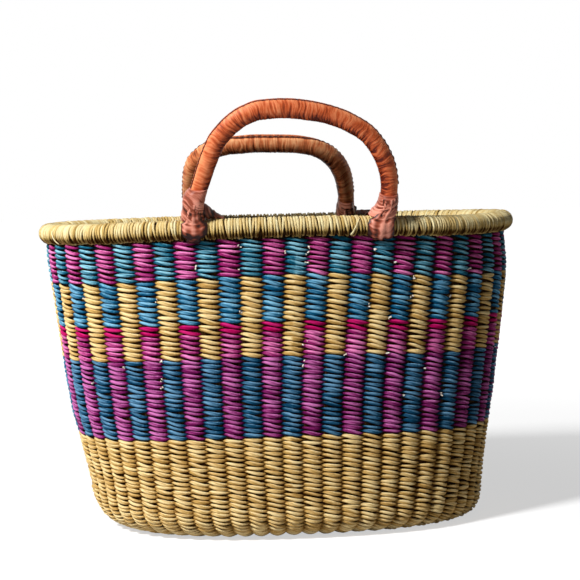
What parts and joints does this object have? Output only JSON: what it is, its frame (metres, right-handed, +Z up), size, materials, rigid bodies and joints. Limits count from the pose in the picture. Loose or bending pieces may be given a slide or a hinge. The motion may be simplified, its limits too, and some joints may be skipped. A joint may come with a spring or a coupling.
{
  "type": "bolga basket",
  "caption": "Oval twined-straw basket with coloured bands, a wrapped rim and two leather-covered handles that swing on loops round the rim.",
  "frame": {"origin": "middle of the flat underside, which rests on the ground", "axes": "+Z up, +X along the basket's length, and the front handle on the -Y side"},
  "size_m": [0.4488, 0.2862, 0.3901],
  "materials": {
    "natural_straw": "matt",
    "stake_straw": "matt",
    "magenta_straw": "satin",
    "teal_straw": "satin",
    "rim_straw": "satin",
    "tan_leather": "satin",
    "foot_leather": "satin",
    "seam_thong": "satin"
  },
  "bodies": {
    "basket": {"stake_frame": "stake_straw", "weft_natural_bowl": "natural_straw", "weft_lower_band": "magenta_straw", "weft_magenta_natural_band": "magenta_straw", "weft_teal_natural_band": "teal_straw", "weft_upper_band": "magenta_straw", "weft_lining": "natural_straw", "rim_core": "rim_straw", "rim_wrap": "rim_straw"},
    "front_handle": {"front_handle_core": "stake_straw", "front_handle_leather": "tan_leather", "front_handle_seam": "seam_thong", "front_left_loop": "foot_leather", "front_right_loop": "foot_leather", "front_left_binding": "foot_leather", "front_right_binding": "foot_leather"},
    "back_handle": {"back_handle_core": "stake_straw", "back_handle_leather": "tan_leather", "back_handle_seam": "seam_thong", "back_left_loop": "foot_leather", "back_right_loop": "foot_leather", "back_left_binding": "foot_leather", "back_right_binding": "foot_leather"}
  },
  "joints": [
    {"name": "front_handle_swing", "type": "hinge", "parent": "basket", "child": "front_handle", "pos_m": [0, -0.11471, 0.2795], "axis": [1, 0, 0], "range_deg": [-78, 47]},
    {"name": "back_handle_swing", "type": "hinge", "parent": "basket", "child": "back_handle", "pos_m": [0, 0.11471, 0.2795], "axis": [-1, 0, 0], "range_deg": [-17, 108]}
  ]
}
